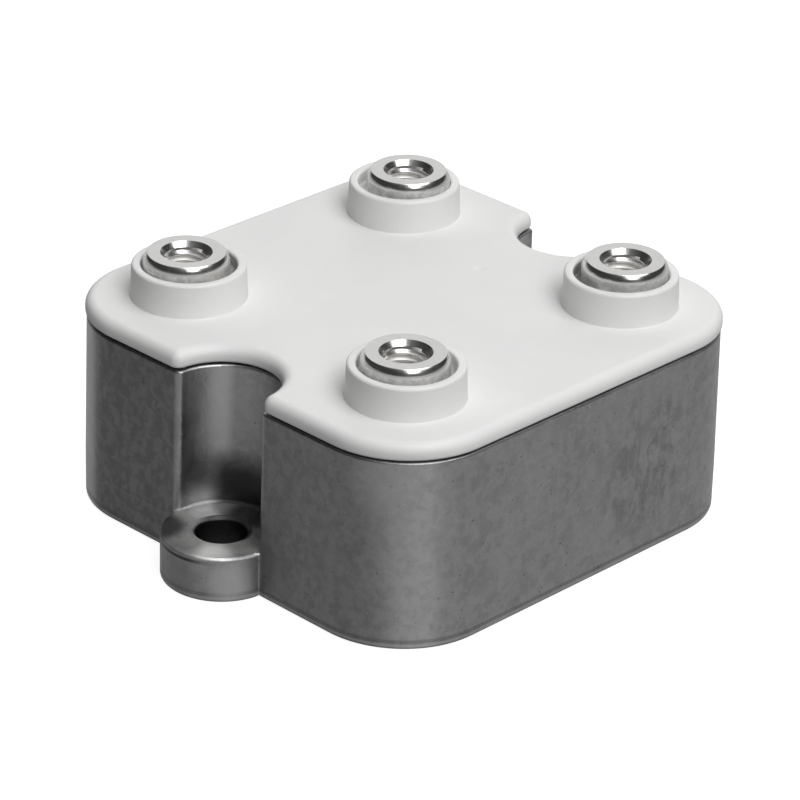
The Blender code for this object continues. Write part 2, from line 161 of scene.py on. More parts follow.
def turn_on_lathe(name, x, y, profile, sides=96):
    """A turned shape, from its half section of radii and heights."""
    piece = draw_line(name, [(x + across, y, height) for across, height in profile])
    bpy.ops.mesh.spin(steps=sides, angle=2 * pi, center=(x, y, 0), axis=(0, 0, 1))
    bpy.ops.mesh.select_all(action="SELECT")
    bpy.ops.mesh.remove_doubles(threshold=0.1 * HAIR)
    bpy.ops.mesh.normals_make_consistent(inside=False)
    leave()
    return piece


def pick_edges(test):
    """Select the edges that pass a test."""
    mesh = bmesh.from_edit_mesh(bpy.context.object.data)
    for edge in mesh.edges:
        edge.select = test(edge)
    mesh.select_flush_mode()
    bmesh.update_edit_mesh(bpy.context.object.data)


def lies_at(height):
    return lambda edge: all(abs(end.co.z - height) < HAIR for end in edge.verts)


def round_edge(piece, test, radius, steps):
    edit(piece)
    pick_edges(test)
    bpy.ops.mesh.bevel(offset=radius, segments=steps, affect="EDGES")
    leave()


def use_tool(piece, tool, operation):
    """Cut or join a piece with another one, which is used up."""
    work_on(piece)
    step = piece.modifiers.new(tool.name, "BOOLEAN")
    step.solver = "EXACT"
    step.operation = operation
    step.object = tool
    bpy.ops.object.modifier_apply(modifier=step.name)
    bpy.data.objects.remove(tool, do_unlink=True)


def true_surface(piece, angle=32):
    """Shade the rounds smooth, and keep the flats between them flat."""
    work_on(piece)
    bpy.ops.object.shade_smooth_by_angle(angle=radians(angle))
    step = piece.modifiers.new("flats", "WEIGHTED_NORMAL")
    step.keep_sharp = True
    step.weight = 100
    bpy.ops.object.modifier_apply(modifier=step.name)


def on_lug_top(edge):
    """Whether an edge runs round the top of a lug, outside the walls."""
    outside = FOOT_SIDE / 2 - HAIR
    return abs(edge.verts[0].co.y - edge.verts[1].co.y) < LUG_SEAM and all(
        abs(end.co.z - LUG_TOP) < HAIR and abs(end.co.x) > outside for end in edge.verts
    )


def at_notch_foot(edge):
    """Whether an edge runs along the bottom of a notch."""
    return all(
        abs(end.co.z - LUG_TOP) < HAIR
        and abs(hypot(abs(end.co.x) - SCREW_X, end.co.y) - NOTCH_RADIUS) < 10 * HAIR
        and abs(end.co.x) < SCREW_X - NOTCH_MOUTH
        for end in edge.verts
    )


case = draw_up(
    "die_cast_case", lugged_square(FOOT_SIDE / 2, FOOT_CORNER, LUG_RADIUS), 0, LUG_TOP
)
round_edge(case, lies_at(0), FOOT_EDGE, EDGE_STEPS)
round_edge(case, on_lug_top, LUG_EDGE, EDGE_STEPS)
walls = draw_up(
    "walls", notched_square(FOOT_SIDE / 2, FOOT_CORNER, NOTCH_RADIUS, NOTCH_LIP), LUG_TOP, CASE_TOP
)
round_edge(walls, lies_at(CASE_TOP), RIM_EDGE, EDGE_STEPS)
edit(walls)
pick_edges(lambda edge: all(end.co.z > CASE_TOP - 2 * RIM_EDGE for end in edge.verts))
draft = RIM_SIDE / FOOT_SIDE
bpy.ops.transform.resize(value=(draft, draft, 1), center_override=(0, 0, 0))
leave()
use_tool(case, walls, "UNION")
round_edge(case, at_notch_foot, NOTCH_FOOT, EDGE_STEPS)
for side in SIDES:
    hole = [
        (0, -MM),
        (SCREW_HOLE, -MM),
        (SCREW_HOLE, LUG_TOP - HOLE_CHAMFER),
        (SCREW_HOLE + HOLE_CHAMFER + MM, LUG_TOP + MM),
        (0, LUG_TOP + MM),
    ]
    use_tool(case, turn_on_lathe("screw_hole", side * SCREW_X, 0, hole), "DIFFERENCE")


def room_outline(inwards):
    """The outline of the room inside the case, drawn in by a clearance."""
    depth = CASE_WALL + inwards
    return notched_square(RIM_SIDE / 2 - depth, FOOT_CORNER - depth, NOTCH_RADIUS + depth, MM)


use_tool(case, draw_up("room", room_outline(0), CASE_FLOOR, CASE_TOP + MM), "DIFFERENCE")
true_surface(case)


def put(tree, kind, **sockets):
    """Add a node to a material or group, with plain numbers for the sockets named."""
    node = tree.nodes.new("ShaderNode" + kind)
    for name, value in sockets.items():
        node.inputs[name.replace("_", " ")].default_value = value
    return node


def feed(tree, socket, value):
    """Give a socket a number or colour, or link it to another node's output."""
    if isinstance(value, bpy.types.NodeSocket):
        tree.links.new(value, socket)
    else:
        socket.default_value = value


def reckon(tree, operation, *values):
    """The output of a Math node."""
    node = put(tree, "Math")
    node.operation = operation
    for socket, value in zip(node.inputs, values):
        feed(tree, socket, value)
    return node.outputs["Value"]


def product(tree, first, *others):
    """The product of some values."""
    for other in others:
        first = reckon(tree, "MULTIPLY", first, other)
    return first


def span(tree, one, other):
    """The length of a way that goes one distance along an axis and another across it."""
    square = reckon(tree, "MULTIPLY_ADD", one, one, reckon(tree, "MULTIPLY", other, other))
    return reckon(tree, "SQRT", square)


def split(tree, place):
    """The parts of a place along X, Y and Z."""
    node = put(tree, "SeparateXYZ")
    feed(tree, node.inputs[0], place)
    return node.outputs["X"], node.outputs["Y"], node.outputs["Z"]


def stretch(tree, value, low, high, to_low=0.0, to_high=1.0):
    """Spread the part of a value between two limits over a new range."""
    node = put(tree, "MapRange")
    node.interpolation_type = "SMOOTHSTEP"
    for socket, given in zip(node.inputs, (value, low, high, to_low, to_high)):
        feed(tree, socket, given)
    return node.outputs["Result"]


def mix(tree, share, first, second):
    """Mix two colours."""
    node = put(tree, "Mix")
    node.data_type = "RGBA"
    feed(tree, node.inputs["Factor"], share)
    feed(tree, node.inputs[6], first)
    feed(tree, node.inputs[7], second)
    return node.outputs[2]


def grey(value):
    return (value, value, value, 1)


def cover(tree, tone, colour, *shares):
    """Lay a colour over a tone, as thick as the product of the shares says."""
    return mix(tree, product(tree, *shares), tone, colour)


def noise(tree, place, size, detail, rough, twist=0.0):
    """Cloudy noise with lumps of about a given size."""
    node = put(tree, "TexNoise", Detail=detail, Roughness=rough, Distortion=twist)
    feed(tree, node.inputs["Vector"], place)
    if isinstance(size, bpy.types.NodeSocket):
        size = reckon(tree, "DIVIDE", 1.0, size)
    else:
        size = 1 / size
    feed(tree, node.inputs["Scale"], size)
    return node.outputs["Fac"]


def turned_line(tree, across):
    """Noise that changes with one value only, as the marks of a lathe tool do."""
    node = put(tree, "TexNoise", Scale=1.0, Detail=2.0)
    node.noise_dimensions = "1D"
    feed(tree, node.inputs["W"], across)
    return node.outputs["Fac"]


def near_to(tree, place, centre, whole, gone):
    """How near a place is to a point: 1 up to the first distance, and 0 past the second."""
    gap = put(tree, "VectorMath")
    gap.operation = "DISTANCE"
    feed(tree, gap.inputs[0], place)
    feed(tree, gap.inputs[1], centre)
    return stretch(tree, gap.outputs["Value"], gone, whole)


def between(tree, value, low, high, fade):
    """1 where a value lies between two limits, fading to 0 outside them."""
    above = stretch(tree, value, low - fade, low)
    return product(tree, above, stretch(tree, value, high + fade, high))


def new_group(name, inputs, outputs):
    """An empty node group with number inputs, its default values, and its outputs."""
    group = bpy.data.node_groups.new(name, "ShaderNodeTree")
    for label, value in inputs.items():
        socket = group.interface.new_socket(label, in_out="INPUT", socket_type="NodeSocketFloat")
        socket.default_value = value
    for label in outputs:
        group.interface.new_socket(label, in_out="OUTPUT", socket_type="NodeSocketFloat")
    return group, group.nodes.new("NodeGroupInput"), group.nodes.new("NodeGroupOutput")


def use_group(tree, group, **sockets):
    """Add a group to a material, with numbers or links for the sockets named."""
    node = put(tree, "Group")
    node.node_tree = group
    for name, value in sockets.items():
        feed(tree, node.inputs[name.replace("_", " ")], value)
    return node


# Dull and bright patches, as handling, tumbling and heat leave them on metal
patches, given, result = new_group("patches", {"Size": 2 * MM, "Contrast": 0.3}, ["Mask"])
place = put(patches, "TexCoord").outputs["Object"]
cloud = noise(patches, place, given.outputs["Size"], 4, 0.6, 0.35)
low = reckon(patches, "MULTIPLY_ADD", given.outputs["Contrast"], 0.5, 0.2)
high = reckon(patches, "SUBTRACT", 1.0, low)
feed(patches, result.inputs["Mask"], stretch(patches, cloud, low, high))

# Fine grain, for bump and roughness
grain, given, result = new_group("grain", {"Size": 0.3 * MM}, ["Height"])
place = put(grain, "TexCoord").outputs["Object"]
feed(grain, result.inputs["Height"], noise(grain, place, given.outputs["Size"], 3, 0.6))

# Edges rubbed bare, with gaps in the rubbing
rubbed, given, result = new_group("rubbed_edges", {"Width": 0.3 * MM, "Gaps": 1.5 * MM}, ["Mask"])
bevel = rubbed.nodes.new("ShaderNodeBevel")
bevel.samples = 6
feed(rubbed, bevel.inputs["Radius"], given.outputs["Width"])
facing = put(rubbed, "VectorMath")
facing.operation = "DOT_PRODUCT"
feed(rubbed, facing.inputs[0], bevel.outputs["Normal"])
feed(rubbed, facing.inputs[1], put(rubbed, "NewGeometry").outputs["Normal"])
edge = stretch(rubbed, facing.outputs["Value"], 0.985, 0.9)
place = put(rubbed, "TexCoord").outputs["Object"]
whole = stretch(rubbed, noise(rubbed, place, given.outputs["Gaps"], 3, 0.6), 0.35, 0.6)
feed(rubbed, result.inputs["Mask"], product(rubbed, edge, whole))


def patchy(tree, size, contrast):
    return use_group(tree, patches, Size=size, Contrast=contrast).outputs["Mask"]


def grainy(tree, size):
    return use_group(tree, grain, Size=size).outputs["Height"]


def edge_wear(tree, width, gaps):
    return use_group(tree, rubbed, Width=width, Gaps=gaps).outputs["Mask"]


def new_material(name, colour, roughness, metallic=0.0):
    material = bpy.data.materials.new(name)
    material.use_nodes = True
    shader = material.node_tree.nodes["Principled BSDF"]
    shader.inputs["Base Color"].default_value = (*colour, 1)
    shader.inputs["Roughness"].default_value = roughness
    shader.inputs["Metallic"].default_value = metallic
    return material, material.node_tree, shader


def raise_surface(tree, shader, *layers):
    """Bump a surface with heights, each with how high it stands in metres."""
    normal = None
    for height, rise in layers:
        bump = put(tree, "Bump", Distance=rise)
        feed(tree, bump.inputs["Height"], height)
        if normal:
            feed(tree, bump.inputs["Normal"], normal)
        normal = bump.outputs["Normal"]
    feed(tree, shader.inputs["Normal"], normal)


def dress(piece, material, slot, *nodes):
    """Give a finished piece its material, and put it in the place of the solids it stands for."""
    piece.data.materials.clear()
    piece.data.materials.append(material)
    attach(piece, "root")
    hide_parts(*nodes)


CAST_DARK = (0.262, 0.262, 0.264, 1)
CAST_LIGHT = grey(0.328)
LEFT_FACE_SHADE = (0.09, 0.09, 0.091, 1)
STAINED = grey(0.1)
PAINTED_SHADE_TONE = grey(0.05)
HIGHLIGHT_AND_PATCH_TONE = grey(0.48)
SPOT_FACED = (grey(0.42), (0.62, 0.62, 0.61, 1))
RUBBED_AND_HIGHLIT = (0.85, 0.85, 0.84, 1)

cast, tree, shader = new_material("stained_casting", (0.22, 0.22, 0.22), 0.45, 1.0)
place = put(tree, "TexCoord").outputs["Object"]
along, aside, up = split(tree, place)
large = patchy(tree, 6 * MM, 0.3)
small = patchy(tree, 1.4 * MM, 0.45)
worn_and_highlit = edge_wear(tree, 0.35 * MM, 1.2 * MM)
tone = mix(tree, large, CAST_DARK, CAST_LIGHT)
tone = cover(tree, tone, grey(0.38), small, 0.45)

# Fine wandering scratches, and small bright and dark specks
wander = noise(tree, place, 1.6 * MM, 3, 0.55, 2.0)
off_line = reckon(tree, "ABSOLUTE", reckon(tree, "SUBTRACT", wander, 0.5))
tone = cover(tree, tone, STAINED, stretch(tree, off_line, 0.018, 0.004), 0.15)
speckle = noise(tree, place, 0.45 * MM, 1, 0.5)
tone = cover(tree, tone, grey(0.42), stretch(tree, speckle, 0.73, 0.8))
tone = cover(tree, tone, STAINED, stretch(tree, speckle, 0.27, 0.2))

# A stain with upright runs on the side face, where something dripped down it
runs = put(tree, "Mapping", Scale=(1, 1, 0.4))
feed(tree, runs.inputs["Vector"], place)
streaks = noise(tree, runs.outputs["Vector"], 1.5 * MM, 4, 0.65, 0.4)
spread = near_to(tree, place, (10 * MM, -28.5 * MM, 11 * MM), 3 * MM, 11 * MM)
tone = cover(tree, tone, STAINED, spread, stretch(tree, streaks, 0.46, 0.6), 0.38)

# Painted shade on the left side face, deeper towards its far end and clear of the notch and the
# corner
left = stretch(tree, along, -25.5 * MM, -28.6 * MM)
clear_of_notch = stretch(tree, reckon(tree, "ABSOLUTE", aside), 6.7 * MM, 7.4 * MM)
depth = stretch(tree, aside, -20 * MM, 12 * MM, 0.55, 0.85)
clear_of_corner = stretch(tree, aside, 23 * MM, 19 * MM)
tone = cover(tree, tone, LEFT_FACE_SHADE, left, clear_of_notch, depth, clear_of_corner)
mottle = patchy(tree, 1.3 * MM, 0.4)
tone = cover(tree, tone, grey(0.42), mottle, 0.13)

# A painted highlight runs down the near corner and a painted reflection lies at the far end of the
# left face, and the wall under the near corner of the cap is lighter
near_corner_highlight = between(tree, along, -25.2 * MM, -23.4 * MM, 2.2 * MM)
in_front = stretch(tree, aside, 0, -20 * MM)
near_corner_highlight = product(tree, near_corner_highlight, in_front, stretch(tree, mottle, 0, 1, 0.6, 1))
far_corner_reflection = between(tree, aside, 22 * MM, 26 * MM, 2 * MM)
highlights_and_patch = reckon(tree, "MAXIMUM", near_corner_highlight, far_corner_reflection)
on_left = stretch(tree, along, 0, -15 * MM)
highlights_and_patch = product(tree, highlights_and_patch, on_left, stretch(tree, up, 22.4 * MM, 21.8 * MM))
under_cap = near_to(tree, place, (-25.8 * MM, -24.8 * MM, 21 * MM), 2 * MM, 7 * MM)
highlights_and_patch = reckon(tree, "MAXIMUM", highlights_and_patch, product(tree, under_cap, 0.8))
tone = cover(tree, tone, HIGHLIGHT_AND_PATCH_TONE, highlights_and_patch, 0.5)

# A dark line about 1 mm above the foot, a pale line under it painted as the floor's reflection, and
# painted shade at the very foot
low_dark_line = between(tree, up, 0.9 * MM, 1.15 * MM, 0.2 * MM)
tone = cover(tree, tone, grey(0.08), low_dark_line, 0.4)
floor_reflection_line = between(tree, up, 0.5 * MM, 0.65 * MM, 0.12 * MM)
tone = cover(tree, tone, grey(0.5), floor_reflection_line, 0.3)
foot_shade = stretch(tree, up, 0.45 * MM, 0.2 * MM)
tone = cover(tree, tone, PAINTED_SHADE_TONE, foot_shade, 0.6)

# The lug's top is spot-faced bright round the hole, and painted light and shade lie on the lug as
# well
from_hole = reckon(tree, "SUBTRACT", reckon(tree, "ABSOLUTE", along), SCREW_X)
radius = span(tree, from_hole, aside)
off_top = reckon(tree, "ABSOLUTE", reckon(tree, "SUBTRACT", up, LUG_TOP))
on_top = stretch(tree, off_top, 0.4 * MM, 0.1 * MM)
seat = product(tree, on_top, stretch(tree, radius, 6.9 * MM, 6.75 * MM))
tone = cover(tree, tone, mix(tree, patchy(tree, 2.2 * MM, 0.25), *SPOT_FACED), seat)
# A painted glint on the front of the lug's top
painted_glint = near_to(tree, place, (-32.3 * MM, -3.3 * MM, LUG_TOP), 0.8 * MM, 3 * MM)
tone = cover(tree, tone, (1, 1, 0.99, 1), painted_glint, seat)
# A painted highlight on the front of the lug's side, which is darker further round
side_highlight = near_to(tree, place, (-32 * MM, -5.5 * MM, 2.5 * MM), 1.2 * MM, 3.4 * MM)
tone = cover(tree, tone, grey(0.5), side_highlight, 0.6)
dull_side = near_to(tree, place, (-34.7 * MM, 0.8 * MM, 2.5 * MM), 2.3 * MM, 5 * MM)
tone = cover(tree, tone, grey(0.09), dull_side, 0.45)
# Painted shade on the back of the lug's top, and a painted highlight where it meets the notch wall
lug_top_shade = near_to(tree, place, (-32.3 * MM, 5.3 * MM, LUG_TOP), 1.8 * MM, 3.8 * MM)
tone = cover(tree, tone, grey(0.07), lug_top_shade, 0.85)
back_highlight = near_to(tree, place, (-26.8 * MM, 4.2 * MM, LUG_TOP), 0.8 * MM, 2.2 * MM)
tone = cover(tree, tone, grey(0.85), back_highlight, 0.5)

# Edges are rubbed bright and painted brighter as edge highlights, but less so under the cap's seam
at_seam = stretch(tree, up, 21.9 * MM, 22.2 * MM)
at_seam = product(tree, at_seam, stretch(tree, radius, 7.5 * MM, 9 * MM))
tone = cover(tree, tone, RUBBED_AND_HIGHLIT, worn_and_highlit, stretch(tree, at_seam, 0, 1, 1, 0.1))

# A dark line runs along the lug's side, just under its top
side_dark_line = between(tree, up, 4.7 * MM, 4.98 * MM, 0.12 * MM)
outside = stretch(tree, radius, 6.5 * MM, 6.7 * MM)
side_dark_line = product(tree, side_dark_line, outside, stretch(tree, aside, -4.5 * MM, -1.5 * MM))
tone = cover(tree, tone, grey(0.04), side_dark_line, stretch(tree, along, -28.6 * MM, -29 * MM), 0.9)

# Painted reflection lies bright on one side of the notch, with a lighter patch lower down, and
# painted shade lies in its foot on the other, behind the hole, on the hole's chamfer and down the
# hole
inwards = stretch(tree, from_hole, -0.2 * MM, -1 * MM)
at_wall = product(tree, between(tree, radius, 6.2 * MM, 6.7 * MM, 0.2 * MM), inwards)
notch_reflection = product(tree, between(tree, aside, 4.6 * MM, 5.9 * MM, 1.1 * MM), at_wall)
notch_reflection = product(tree, notch_reflection, stretch(tree, up, 10 * MM, 13.5 * MM))
patch = near_to(tree, place, (-25.6 * MM, 6.1 * MM, 7 * MM), 0.5 * MM, 2.6 * MM)
tone = cover(tree, tone, grey(0.55), reckon(tree, "ADD", notch_reflection, patch), 0.7)
low_down = stretch(tree, up, 13 * MM, 9 * MM)
notch_shade = product(tree, low_down, stretch(tree, aside, 5.8 * MM, 4.4 * MM), at_wall, 0.88)
behind = near_to(tree, place, (-23.4 * MM, 0.2 * MM, LUG_TOP), 1.8 * MM, 4 * MM)
rim = stretch(tree, radius, 3.5 * MM, 3.3 * MM, 0, 0.9)
rim = product(tree, rim, stretch(tree, from_hole, 1 * MM, -1 * MM))
in_hole = stretch(tree, radius, 3.1 * MM, 2.95 * MM)
for darker in (product(tree, behind, 0.8), rim, in_hole):
    notch_shade = reckon(tree, "MAXIMUM", notch_shade, darker)
feed(tree, shader.inputs["Base Color"], cover(tree, tone, PAINTED_SHADE_TONE, notch_shade))

dull = stretch(tree, large, 0, 1, 0.4, 0.48)
dull = reckon(tree, "MULTIPLY_ADD", seat, 0.14, dull)
feed(tree, shader.inputs["Roughness"], reckon(tree, "MULTIPLY_ADD", worn_and_highlit, -0.12, dull))
rings = product(tree, turned_line(tree, reckon(tree, "DIVIDE", radius, 0.25 * MM)), seat)
skin = grainy(tree, 0.35 * MM)
raise_surface(tree, shader, (small, 0.012 * MM), (skin, 0.008 * MM), (rings, 0.05 * MM))
dress(case, cast, "cast_aluminium", "housing")


# The cap. It is moulded in white thermoset, and its skirt drops into the case. Its edges are
# round all round, it follows the notches, and a round boss rises round each terminal, with a web in
# its mouth that closes on the bush. A shallow round mark is left where the mould's gate was.

CAP_LOW = 22.8 * MM
CAP_TOP = 24.75 * MM
CAP_HALF = 28.6 * MM
CAP_CORNER = 10.9 * MM
CAP_EDGE = 1.2 * MM
CAP_UNDER_EDGE = 0.35 * MM
CAP_NOTCH = 6.5 * MM
CAP_LIP = 1.3 * MM
FIT = 0.3 * MM
SKIRT_LOW = 19.5 * MM
SKIRT_WALL = 1.5 * MM
TERMINAL_OFF = 17.15 * MM
BOSS_TOP = 28.75 * MM
BOSS_RADIUS = 6.5 * MM
BOSS_DRAFT = 0.15 * MM
BOSS_EDGE = 0.35 * MM
BOSS_FOOT = 0.1 * MM
BOSS_BORE = 5.45 * MM
BOSS_MOUTH = 0.3 * MM
HUB_LOW = 20.7 * MM
WEB_DOWN = 1.5 * MM
WEB_THICK = 1.0 * MM
WEB_HOLE = 4.92 * MM
WEB_REACH = 5.97 * MM
GATE_X = 12.3 * MM
GATE_RADIUS = 1.0 * MM
GATE_DEPTH = 0.12 * MM
PLACES = (("positive", 1, 1), ("ac_left", -1, 1), ("ac_right", 1, -1), ("negative", -1, -1))
PLAY = {
    "positive": (0.23 * MM, -0.4 * MM),
    "ac_left": (-0.38 * MM, 0.04 * MM),
    "ac_right": (0.47 * MM, -0.09 * MM),
    "negative": (-0.26 * MM, -0.08 * MM),
}

outline = notched_square(CAP_HALF, CAP_CORNER, CAP_NOTCH, CAP_LIP)
cap = draw_up("moulded_cap", outline, CAP_LOW, CAP_TOP)
round_edge(cap, lies_at(CAP_TOP), CAP_EDGE, 10)
round_edge(cap, lies_at(CAP_LOW), CAP_UNDER_EDGE, 4)
skirt = draw_up("skirt", room_outline(FIT), SKIRT_LOW, CAP_LOW + MM)
skirt_room = draw_up("skirt_room", room_outline(FIT + SKIRT_WALL), SKIRT_LOW - MM, CAP_LOW + 2 * MM)
use_tool(skirt, skirt_room, "DIFFERENCE")
use_tool(cap, skirt, "UNION")
foot_radius = BOSS_RADIUS + BOSS_DRAFT
boss_profile = [
    (BOSS_BORE, HUB_LOW),
    *arc(BOSS_BORE + BOSS_MOUTH, BOSS_TOP - BOSS_MOUTH, BOSS_MOUTH, 180, 90, 4),
    *arc(BOSS_RADIUS - BOSS_EDGE, BOSS_TOP - BOSS_EDGE, BOSS_EDGE, 90, 0, 6),
    *arc(foot_radius + BOSS_FOOT, CAP_TOP + BOSS_FOOT - HAIR / 2, BOSS_FOOT, 180, 270, 6),
    (foot_radius + BOSS_FOOT, CAP_TOP - MM / 2),
    (foot_radius, CAP_TOP - MM),
    (foot_radius, HUB_LOW),
    (BOSS_BORE, HUB_LOW),
]
in_the_wall = (BOSS_BORE + foot_radius) / 2
seat = [
    (0, CAP_LOW - MM),
    (in_the_wall, CAP_LOW - MM),
    (in_the_wall, CAP_TOP + MM),
    (0, CAP_TOP + MM),
]
web_top = BOSS_TOP - WEB_DOWN
web = [
    (WEB_HOLE, web_top - WEB_THICK),
    (WEB_HOLE, web_top),
    (WEB_REACH, web_top),
    (WEB_REACH, web_top - WEB_THICK),
    (WEB_HOLE, web_top - WEB_THICK),
]
for name, x, y in PLACES:
    axis = (x * TERMINAL_OFF, y * TERMINAL_OFF)
    use_tool(cap, turn_on_lathe("boss_seat", *axis, seat), "DIFFERENCE")
    use_tool(cap, turn_on_lathe("boss", *axis, boss_profile), "UNION")
    bush_axis = (axis[0] + PLAY[name][0], axis[1] + PLAY[name][1])
    use_tool(cap, turn_on_lathe("web", *bush_axis, web), "UNION")
gate_floor = [
    (GATE_RADIUS * i / 8, CAP_TOP - GATE_DEPTH * (1 + cos(pi * i / 8)) / 2 + HAIR / 2)
    for i in range(9)
]
gate = [*gate_floor, (GATE_RADIUS, CAP_TOP + MM), (0, CAP_TOP + MM)]
use_tool(cap, turn_on_lathe("gate_mark", GATE_X, 0, gate, 48), "DIFFERENCE")
true_surface(cap)

GAP_SHADE_TONES = ((0.2, 0.2, 0.19, 1), (0.32, 0.32, 0.31, 1))

white, tree, shader = new_material("white_moulding", (0.8, 0.8, 0.79), 0.45)
tone = mix(tree, patchy(tree, 9 * MM, 0.2), (0.785, 0.785, 0.78, 1), (0.81, 0.81, 0.8, 1))

# Painted shade lies in the bores beside three bushes, where their gap is widest
place = put(tree, "TexCoord").outputs["Object"]
along, aside, up = split(tree, place)
from_x = reckon(tree, "SUBTRACT", reckon(tree, "ABSOLUTE", along), TERMINAL_OFF)
from_y = reckon(tree, "SUBTRACT", reckon(tree, "ABSOLUTE", aside), TERMINAL_OFF)
in_bore = reckon(tree, "LESS_THAN", span(tree, from_x, from_y), BOSS_BORE + 2 * HAIR)
low_down = stretch(tree, up, BOSS_TOP - 0.25 * MM, BOSS_TOP - 0.5 * MM)
left_gap = near_to(tree, place, (-12.3 * MM, 14.7 * MM, web_top), 2 * MM, 4.2 * MM)
right_gap = near_to(tree, place, (13.2 * MM, -13.2 * MM, web_top), 2.8 * MM, 5 * MM)
near_gap = near_to(tree, place, (-13.3 * MM, -21 * MM, web_top), 1.5 * MM, 3.5 * MM)
gap_shade = reckon(tree, "MAXIMUM", left_gap, right_gap)
gap_shade = reckon(tree, "MAXIMUM", gap_shade, product(tree, near_gap, 0.5))
gap_shade = product(tree, gap_shade, product(tree, in_bore, low_down), 0.9)
gap_shade_tone = mix(tree, patchy(tree, 1 * MM, 0.25), *GAP_SHADE_TONES)
feed(tree, shader.inputs["Base Color"], cover(tree, tone, gap_shade_tone, gap_shade))
skin = grainy(tree, 0.2 * MM)
feed(tree, shader.inputs["Roughness"], stretch(tree, skin, 0.3, 0.7, 0.4, 0.52))
raise_surface(tree, shader, (skin, 0.004 * MM))
dress(cap, white, "white_moulding", "cap")


# The terminals. Each is a turned brass bush with nickel plating, tapped M5 from the top, and its
# collar holds it down under the cap. They have some play in their bosses, so none is quite central.

TERMINAL_TOP = 30.15 * MM
TERMINAL_RADIUS = 4.9 * MM
TERMINAL_CHAMFER = 0.45 * MM
TERMINAL_CHAMFER_DEPTH = 0.9 * MM
BREAK = 0.06 * MM
THREAD_CORE = 2.1 * MM
THREAD_OUTER = 2.5 * MM
THREAD_PITCH = 0.8 * MM
THREAD_TURNS = 10
TOOTH_ROOT = 0.36 * MM
TOOTH_CREST = 0.06 * MM
THREAD_LOW = 21.15 * MM
DRILL_POINT = 1.1 * MM
SINK_RADIUS = 2.95 * MM
SINK_DEPTH = 1.15 * MM
COLLAR_RADIUS = 6.4 * MM
COLLAR_TOP = 20.4 * MM
COLLAR_LOW = 18.9 * MM

flat = TERMINAL_RADIUS - TERMINAL_CHAMFER
chamfer_low = TERMINAL_TOP - TERMINAL_CHAMFER_DEPTH
bush = turn_on_lathe("bush", 0, 0, [
    (0, THREAD_LOW - DRILL_POINT),
    (THREAD_OUTER, THREAD_LOW),
    (THREAD_OUTER, TERMINAL_TOP),
    (flat - BREAK, TERMINAL_TOP),
    (flat, TERMINAL_TOP - BREAK),
    (TERMINAL_RADIUS, chamfer_low),
    (TERMINAL_RADIUS, COLLAR_TOP),
    (COLLAR_RADIUS, COLLAR_TOP),
    (COLLAR_RADIUS, COLLAR_LOW),
    (0, COLLAR_LOW),
])
root = THREAD_OUTER + 3 * HAIR
tooth = [
    (root, -TOOTH_ROOT),
    (THREAD_CORE, -TOOTH_CREST),
    (THREAD_CORE, TOOTH_CREST),
    (root, TOOTH_ROOT),
    (root, -TOOTH_ROOT),
]
first_tooth = THREAD_LOW + THREAD_PITCH / 2
thread = draw_line("thread", [(across, 0, first_tooth + rise) for across, rise in tooth])
bpy.ops.mesh.remove_doubles(threshold=0.1 * HAIR)
leave()
work_on(thread)
helix = thread.modifiers.new("helix", "SCREW")
helix.axis = "Z"
helix.steps = helix.render_steps = 48
helix.screw_offset = THREAD_PITCH
helix.iterations = THREAD_TURNS
helix.use_merge_vertices = False
bpy.ops.object.modifier_apply(modifier=helix.name)
edit(thread)
bpy.ops.mesh.select_all(action="SELECT")
bpy.ops.mesh.fill_holes(sides=8)
bpy.ops.mesh.normals_make_consistent(inside=False)
leave()
use_tool(bush, thread, "UNION")
slope = SINK_DEPTH / (SINK_RADIUS - THREAD_CORE)
sink = [
    (0, TERMINAL_TOP - SINK_RADIUS * slope),
    (SINK_RADIUS + MM / slope, TERMINAL_TOP + MM),
    (0, TERMINAL_TOP + MM),
]
use_tool(bush, turn_on_lathe("countersink", 0, 0, sink), "DIFFERENCE")
true_surface(bush)

# Rings left by the lathe tool round a terminal's axis, and masks for its thread and its side
rings, given, result = new_group(
    "turning_rings", {"X": 0.0, "Y": 0.0, "Pitch": 0.1 * MM}, ["Height", "Bore", "Side"]
)
along, aside, up = split(rings, put(rings, "TexCoord").outputs["Object"])
from_x = reckon(rings, "SUBTRACT", along, given.outputs["X"])
from_y = reckon(rings, "SUBTRACT", aside, given.outputs["Y"])
radius = span(rings, from_x, from_y)
across = reckon(rings, "DIVIDE", radius, given.outputs["Pitch"])
feed(rings, result.inputs["Height"], turned_line(rings, across))
bore = reckon(rings, "LESS_THAN", radius, 2.7 * MM)
deep = stretch(rings, up, TERMINAL_TOP - SINK_DEPTH, TERMINAL_TOP - 1.3 * MM)
feed(rings, result.inputs["Bore"], product(rings, bore, deep))
outer = reckon(rings, "GREATER_THAN", radius, 4 * MM)
below = stretch(rings, up, chamfer_low + 0.08 * MM, chamfer_low - 0.04 * MM)
feed(rings, result.inputs["Side"], product(rings, outer, below))

PLATED = ((0.7, 0.695, 0.685, 1), (0.75, 0.745, 0.73, 1))
MATT_PLATED = ((0.66, 0.655, 0.645, 1), (0.9, 0.895, 0.88, 1))
PLATED_BRIGHT = (0.9, 0.89, 0.87, 1)

